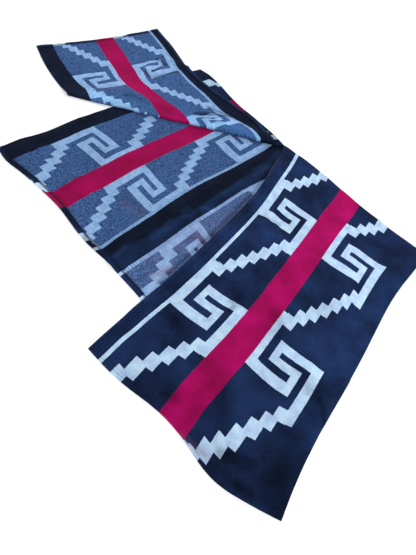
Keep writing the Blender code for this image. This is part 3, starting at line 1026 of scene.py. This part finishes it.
def edge_piping(grid, shift, thread):
    """The loose rusty thread along the right front's edge, half sunk in the edge's middle."""
    sewing = Sewing(grid, shift)
    rows = rows_along(grid, 0, *PIPING_PARTS, PIPING_PITCH)
    top, outward = sewing.path("outer", rows, 0)
    low, _ = sewing.path("inner", rows, 0)
    beyond = unit(between(grid.middle, rows, 0) - between(grid.middle, rows, 1))
    sewing.tube((top + low) / 2 + beyond * PIPING_RADIUS / 2, outward, PIPING_RADIUS)
    return sewing.piece("right_edge_thread", thread)


def nape_tack(left, right, shift, thread):
    """The bar tack that ends the seam at the nape: a thread to and fro between the lengths' front edges."""
    sewing = Sewing(right, shift)
    ends = []
    for grid in (left, right):
        rows = rows_along(grid, 0, *TACK_PLACES, TACK_PITCH)
        ends.append(Sewing(grid, shift).path("inner", rows, 0)[0])
    count = min(len(points) for points in ends)
    line = np.stack([points[-count:] for points in ends], axis=1).reshape(-1, 3)
    upward = np.tile([0.0, 0.0, 1.0], (len(line), 1))
    sewing.tube(line, upward, TACK_RADIUS)
    return sewing.piece("nape_tack", thread)


class Nodes:
    """Adds nodes to a tree: each call gives the new node's output, and takes sockets or plain values."""

    def __init__(self, tree):
        self.tree = tree

    def add(self, kind, *values, output=0, **settings):
        node = self.tree.nodes.new(kind)
        for name, value in settings.items():
            setattr(node, name, value)
        for socket, value in zip(node.inputs, values):
            self.put(socket, value)
        return node.outputs[output]

    def put(self, socket, value):
        """Links a socket to a socket, or sets its value."""
        if isinstance(value, bpy.types.NodeSocket):
            self.tree.links.new(value, socket)
        elif value is not None:
            socket.default_value = value

    def math(self, operation, *values):
        return self.add("ShaderNodeMath", *values, operation=operation)

    def band(self, value, low, high):
        """1 where the value is between low and high."""
        return self.math("COMPARE", value, (low + high) / 2, (high - low) / 2)

    def toward(self, value, goal, share):
        """The value, moved to the goal by a share of the way."""
        return self.math("MULTIPLY_ADD", self.math("SUBTRACT", goal, value), share, value)

    def mix(self, factor, a, b, blend="MIX"):
        """Two colours mixed, from a at factor 0 to b at factor 1."""
        node = self.tree.nodes.new("ShaderNodeMix")
        node.data_type = "RGBA"
        node.blend_type = blend
        for socket, value in zip((node.inputs[0], node.inputs[6], node.inputs[7]), (factor, a, b)):
            self.put(socket, value)
        return node.outputs[2]

    def noise(self, vector, scale, detail=2.0, output=0):
        """A noise's value, or its colour from output 1."""
        return self.add("ShaderNodeTexNoise", vector, None, scale, detail, output=output)

    def spread(self, value, low, high, to_low=0.0, to_high=1.0):
        """Maps low..high to to_low..to_high, and holds the ends."""
        return self.add("ShaderNodeMapRange", value, low, high, to_low, to_high)

    def spots(self, vector, spots):
        """Soft spots from 0 to 1."""
        return self.spread(self.noise(vector, spots.scale, spots.detail), spots.low, spots.high)

    def wave(self, value, period):
        """A cosine of the value, from -1 to 1."""
        return self.math("COSINE", self.math("MULTIPLY", value, 2 * math.pi / period))

    def attribute(self, name):
        return self.add("ShaderNodeAttribute", output=2, attribute_name=name)


def srgb(code):
    """A linear colour from a hexadecimal one."""
    values = [int(code[i : i + 2], 16) / 255 for i in (0, 2, 4)]
    return (*[v / 12.92 if v <= 0.04045 else ((v + 0.055) / 1.055) ** 2.4 for v in values], 1.0)


def new_material(name, roughness, specular):
    """A material, a hand to add its nodes, and its shader."""
    material = bpy.data.materials.new(name)
    material.use_nodes = True
    shader = material.node_tree.nodes["Principled BSDF"]
    shader.inputs["Roughness"].default_value = roughness
    shader.inputs["Specular IOR Level"].default_value = specular
    return material, Nodes(material.node_tree), shader


def fret_group():
    """The fret's chart as a node group: 1 on a bar or a step of the stair, from the cloth's measure.

    The bars are rectangles. The stair's steps are equal, so the step's number is the height over the rise,
    rounded down, and each step's rectangle is moved by that number of runs.
    """
    group = bpy.data.node_groups.new("fret chart", "ShaderNodeTree")
    for name, way in (("across", "INPUT"), ("along", "INPUT"), ("pale", "OUTPUT")):
        group.interface.new_socket(name, in_out=way, socket_type="NodeSocketFloat")
    n = Nodes(group)
    inputs = group.nodes.new("NodeGroupInput")
    across, along = inputs.outputs[0], inputs.outputs[1]
    in_outer = n.math("GREATER_THAN", across, sum(STRIPE) / 2)
    start = n.spread(in_outer, 0, 1, THIN_LINE, STRIPE[1])
    inner_scale = FRET_WIDTH / (STRIPE[0] - THIN_LINE)
    outer_scale = FRET_WIDTH / (OUTER_BORDER - STRIPE[1])
    scale = n.spread(in_outer, 0, 1, inner_scale, outer_scale)
    x = n.math("MULTIPLY", n.math("SUBTRACT", across, start), scale)
    y = n.math("MULTIPLY_ADD", along, 1 / MM, FRET_MIDDLE - FRET_START)
    y = n.math("MULTIPLY_ADD", in_outer, -OUTER_FRET_SHIFT, y)
    y = n.math("ADD", n.math("FLOORED_MODULO", y, REPEAT / MM), FRET_START)
    pale = 0.0
    for bar in FRET_BARS:
        inside = n.math("MULTIPLY", n.band(x, bar.x0, bar.x1), n.band(y, bar.y0, bar.y1))
        pale = n.math("MAXIMUM", pale, inside)
    for overlap in (0, STAIR_OVERLAP):
        height = n.math("SUBTRACT", y, STAIR_START + overlap)
        step = n.math("FLOOR", n.math("DIVIDE", height, STAIR_RISE))
        x_on_step = n.math("MULTIPLY_ADD", step, STAIR_RUN, x)
        on_tread = n.band(x_on_step, STAIR_X, STAIR_X + STAIR_TREAD)
        on_step = n.math("MULTIPLY", on_tread, n.band(step, -0.5, STAIR_STEPS - 0.5))
        pale = n.math("MAXIMUM", pale, on_step)
    output = group.nodes.new("NodeGroupOutput")
    group.links.new(pale, output.inputs[0])
    return group


# A cloth face's dyes, each a dark and a light one. Heather is how much the ground changes between stitches.
# Ribs is how much painted shade darkens the grooves between the edge's ribs
Dyes = namedtuple("Dyes", "ground pale crimson border heather ladder ribs")

OUTSIDE = Dyes(
    ground=("0c152b", "1c3059"),
    pale=("9bb1d6", "bbd8e9"),
    crimson=("82053e", "ac0a60"),
    border=("0d172e", "1c325c"),
    heather=0.36,
    ladder=0.0,
    ribs=0.60,
)
LEFT_INSIDE = Dyes(
    ground=("0f1f3c", "4a6ba1"),
    pale=("5f82b2", "98b8da"),
    crimson=("80043a", "98064c"),
    border=("080f20", "10192d"),
    heather=1.0,
    ladder=0.5,
    ribs=0.0,
)
# The right length's inside: the same cloth, with a more purple ground and pale, and a lighter border that is
# painted light, as on the seam's raised lap
RIGHT_INSIDE = LEFT_INSIDE._replace(
    ground=("182649", "5a76a8"),
    pale=("6485b4", "98b5d9"),
    border=("0c1932", "142746"),
)
NAVY_THREAD = ("060a14", "0e1628")
RUSTY_THREAD = ("3a2326", "7a4a3c")
THREAD_NOISE = 180.0

# Spots in the dye: a noise's scale and detail, and its values that become 0 and 1
Spots = namedtuple("Spots", "scale detail low high")
CLUMPS = Spots(320.0, 1.0, 0.3, 0.7)
BLOTCHES = Spots(8.0, 3.0, 0.35, 0.65)
MOTTLES = Spots(36.0, 2.0, 0.35, 0.65)
BLOTCH_SHADES = (0.95, 1.05)

# How much of each dye's spots changes from stitch to stitch
STITCH_SHARE = 0.75
BORDER_SHARE = 0.3
CRIMSON_SHARE = 0.35
PALE_SHARES = (0.2, 0.5)  # always, and times the heather

STITCH_CELL = (0.0030, 0.0038, 1.0)
RAGGED = (0.0022, 0.0022, 0.0)
RAGGED_NOISE = 90.0
RIB_PITCH = 0.0036
LADDER_PITCH = 0.0070
RUNG_EDGE = 0.1
EDGE_RIB_PITCH = 0.0090
EDGE_RIB_POWER = 3.0
EDGE_RIBS_START = 0.002
EDGE_RIBS_END = 0.0385
MARK_ON_PALE = 0.75  # how much of a mark shows on the pale dye
DARKEST_MARK = -0.65
LILAC = "7d5f78"
# The painted cyan sheen, as a shift of the colour
CYAN_SHEEN = (0.80, 1.08, 1.04)

# The weave's relief: how high the flecks and the edge's ribs stand over the ribs of the weave
FLECK_RELIEF = 2.0
EDGE_RIB_RELIEF = 4.0
BUMP_STRENGTH = 0.45
BUMP_DISTANCE = 0.0008


def cloth_material(name, fret, dyes):
    """Jacquard cloth: stripes and frets from the cloth's measure, in mixed stitches, with nap and ribs."""
    material, n, shader = new_material(name, roughness=0.92, specular=0.05)
    measure = n.add("ShaderNodeUVMap", uv_map="cloth")
    waver = n.noise(measure, RAGGED_NOISE, output=1)
    moved = n.add("ShaderNodeVectorMath", waver, RAGGED, measure, operation="MULTIPLY_ADD")
    middle = n.add("ShaderNodeVectorMath", moved, tuple(-r / 2 for r in RAGGED), operation="ADD")
    across = n.add("ShaderNodeSeparateXYZ", middle)
    along = n.add("ShaderNodeSeparateXYZ", middle, output=1)
    chart = n.tree.nodes.new("ShaderNodeGroup")
    chart.node_tree = fret
    n.put(chart.inputs[0], across)
    n.put(chart.inputs[1], along)
    is_line = n.band(across, BORDER, THIN_LINE)
    is_pale = n.math("MAXIMUM", chart.outputs[0], is_line)
    is_border = n.math("SUBTRACT", 1.0, n.band(across, BORDER, OUTER_BORDER))
    is_crimson = n.band(across, *STRIPE)

    cell = n.add("ShaderNodeVectorMath", measure, STITCH_CELL, operation="SNAP")
    stitch = n.add("ShaderNodeTexWhiteNoise", cell, noise_dimensions="2D")
    fleck = n.toward(n.spots(measure, CLUMPS), stitch, STITCH_SHARE)
    blotch = n.spots(measure, BLOTCHES)
    mottle = n.spots(measure, MOTTLES)
    pale_share = PALE_SHARES[0] + PALE_SHARES[1] * dyes.heather
    ground = n.mix(n.toward(blotch, fleck, dyes.heather), *map(srgb, dyes.ground))
    border = n.mix(n.toward(blotch, fleck, BORDER_SHARE), *map(srgb, dyes.border))
    frets = n.mix(n.toward(mottle, fleck, pale_share), *map(srgb, dyes.pale))
    red = n.mix(n.toward(blotch, fleck, CRIMSON_SHARE), *map(srgb, dyes.crimson))
    rung = n.math("GREATER_THAN", n.wave(along, LADDER_PITCH), RUNG_EDGE)
    frets = n.mix(n.math("MULTIPLY", n.math("MULTIPLY", rung, is_line), dyes.ladder), frets, ground)
    colour = n.mix(is_border, ground, border)
    colour = n.mix(is_pale, colour, frets)
    colour = n.mix(is_crimson, colour, red)

    tinge = n.attribute("tinge")
    heathered = n.math("MULTIPLY", n.math("SUBTRACT", 1.0, is_border), dyes.heather)
    takes_lilac = n.math("MAXIMUM", is_pale, heathered)
    colour = n.mix(n.math("MULTIPLY", n.math("MAXIMUM", tinge, 0.0), takes_lilac), colour, srgb(LILAC))
    # Where the tinge is below zero, a painted cyan sheen
    cyan = n.mix(1.0, colour, (*CYAN_SHEEN, 1.0), blend="MULTIPLY")
    colour = n.mix(n.math("MAXIMUM", n.math("MULTIPLY", tinge, -1.0), 0.0), colour, cyan)

    # Painted shade: the grooves between the edge's ribs are darkened in the colour, where the bump lowers
    # them
    edge_rib = n.math("POWER", n.math("MAXIMUM", n.wave(across, EDGE_RIB_PITCH), 0.0), EDGE_RIB_POWER)
    edge_rib = n.math("MULTIPLY", edge_rib, n.band(across, EDGE_RIBS_START, EDGE_RIBS_END))
    # The shade attribute: painted light and shade, held above the darkest mark
    marks = n.math("MAXIMUM", n.attribute("shade"), DARKEST_MARK)
    shade = n.math("MULTIPLY", marks, n.spread(is_pale, 0, 1, 1.0, MARK_ON_PALE))
    shade = n.math("ADD", shade, n.spread(blotch, 0, 1, *BLOTCH_SHADES))
    shade = n.math("MULTIPLY_ADD", edge_rib, -dyes.ribs, shade)
    colour = n.mix(1.0, colour, n.add("ShaderNodeCombineColor", shade, shade, shade), blend="MULTIPLY")
    n.put(shader.inputs["Base Color"], colour)
    shader.inputs["Sheen Weight"].default_value = 0.008
    shader.inputs["Sheen Roughness"].default_value = 0.5

    relief = n.math("MULTIPLY", n.wave(across, RIB_PITCH / 2), n.wave(along, RIB_PITCH / 2))
    relief = n.math("MULTIPLY_ADD", fleck, FLECK_RELIEF, relief)
    relief = n.math("MULTIPLY_ADD", edge_rib, -EDGE_RIB_RELIEF * dyes.ribs, relief)
    bump = n.tree.nodes.new("ShaderNodeBump")
    bump.inputs["Strength"].default_value = BUMP_STRENGTH
    bump.inputs["Distance"].default_value = BUMP_DISTANCE
    n.put(bump.inputs["Height"], relief)
    n.put(shader.inputs["Normal"], bump.outputs[0])
    return material


def thread_material(name, dyes):
    """Spun thread, with darker and lighter lengths."""
    material, n, shader = new_material(name, roughness=0.8, specular=0.2)
    place = n.add("ShaderNodeTexCoord", output=3)
    n.put(shader.inputs["Base Color"], n.mix(n.noise(place, THREAD_NOISE), *map(srgb, dyes)))
    return material


FLOOR_HALF = 8.0
FLOOR_HEIGHT = -0.0004
FLOOR_COLOUR = (0.9, 0.9, 0.9, 1)

Lamp = namedtuple("Lamp", "name place size power")
LAMPS = (
    Lamp("window", (-1.0, 3.2, 2.8), 2.4, 60.0),
    Lamp("key", (3.4, -3.0, 5.2), 2.2, 300.0),
)
SKY = (0.95, 0.97, 1.0, 1)
SKY_STRENGTH = 0.68


def stage_floor():
    """A plain pale floor, wide enough for every view."""
    mesh = bpy.data.meshes.new("floor")
    corners = [(FLOOR_HALF * x, FLOOR_HALF * y, 0) for x, y in ((-1, -1), (1, -1), (1, 1), (-1, 1))]
    mesh.from_pydata(corners, [], [(0, 1, 2, 3)])
    material, _, shader = new_material("floor", roughness=1.0, specular=0.5)
    shader.inputs["Base Color"].default_value = FLOOR_COLOUR
    mesh.materials.append(material)
    floor = new_object("floor", mesh)
    floor.location.z = FLOOR_HEIGHT


def lights():
    """A pale sky all round, and two square lamps that point at the middle."""
    world = bpy.data.worlds.new("studio")
    bpy.context.scene.world = world
    world.use_nodes = True
    background = world.node_tree.nodes["Background"]
    background.inputs["Color"].default_value = SKY
    background.inputs["Strength"].default_value = SKY_STRENGTH
    for lamp in LAMPS:
        data = bpy.data.lights.new(lamp.name, "AREA")
        data.size = lamp.size
        data.energy = lamp.power
        light = new_object(lamp.name, data)
        light.location = Vector(lamp.place)
        light.rotation_euler = (-Vector(lamp.place)).to_track_quat("-Z", "Y").to_euler()


def camera(shift):
    """The photograph's camera: its heading and pitch, then its roll about the line of sight."""
    forward = Vector((HEADING[0] * math.cos(PITCH), HEADING[1] * math.cos(PITCH), -math.sin(PITCH)))
    level = Vector((HEADING[1], -HEADING[0], 0))
    upright = level.cross(forward)
    right = level * math.cos(ROLL) + upright * math.sin(ROLL)
    up = upright * math.cos(ROLL) - level * math.sin(ROLL)
    lens = bpy.data.cameras.new("camera")
    lens.sensor_width = SENSOR
    lens.lens = SENSOR * FOCAL_PIXELS / PHOTO_HEIGHT
    lens.clip_start, lens.clip_end = CLIP
    eye = new_object("camera", lens)
    turn = Matrix((right, up, -forward)).transposed().to_4x4()
    eye.matrix_world = Matrix.Translation(Vector(EYE) + Vector(shift)) @ turn
    bpy.context.scene.camera = eye


def main():
    low_left, low_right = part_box("left_length")[0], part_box("right_length")[0]
    shift = np.array([low_left[0] - LEFT_FRONT_HEM.outer[0], low_right[1] - RIGHT_FRONT_HEM.inner[1], 0.0])
    fret = fret_group()
    outside = cloth_material("outside of cloth", fret, OUTSIDE)
    left_inside = cloth_material("inside of left cloth", fret, LEFT_INSIDE)
    right_inside = cloth_material("inside of right cloth", fret, RIGHT_INSIDE)
    navy_thread = thread_material("navy thread", NAVY_THREAD)
    rusty_thread = thread_material("rusty thread", RUSTY_THREAD)
    left = length_grid("left", LEFT_PANELS, (shoulder_radius, crease_radius), left_bed)
    right = length_grid("right", RIGHT_PANELS, (shoulder_radius,), right_bed)
    left_cloth = cloth_wall("left_cloth", left, shift, (outside, left_inside))
    right_cloth = cloth_wall("right_cloth", right, shift, (outside, right_inside))
    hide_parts("left_length")
    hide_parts("right_length")
    left_sewing = [hem_stitches("left", left, shift, navy_thread)]
    right_sewing = [
        hem_stitches("right", right, shift, navy_thread),
        edge_piping(right, shift, rusty_thread),
        nape_tack(left, right, shift, navy_thread),
    ]
    stage_floor()
    lights()
    camera(shift)
    bpy.context.scene.view_settings.view_transform = "Standard"


main()
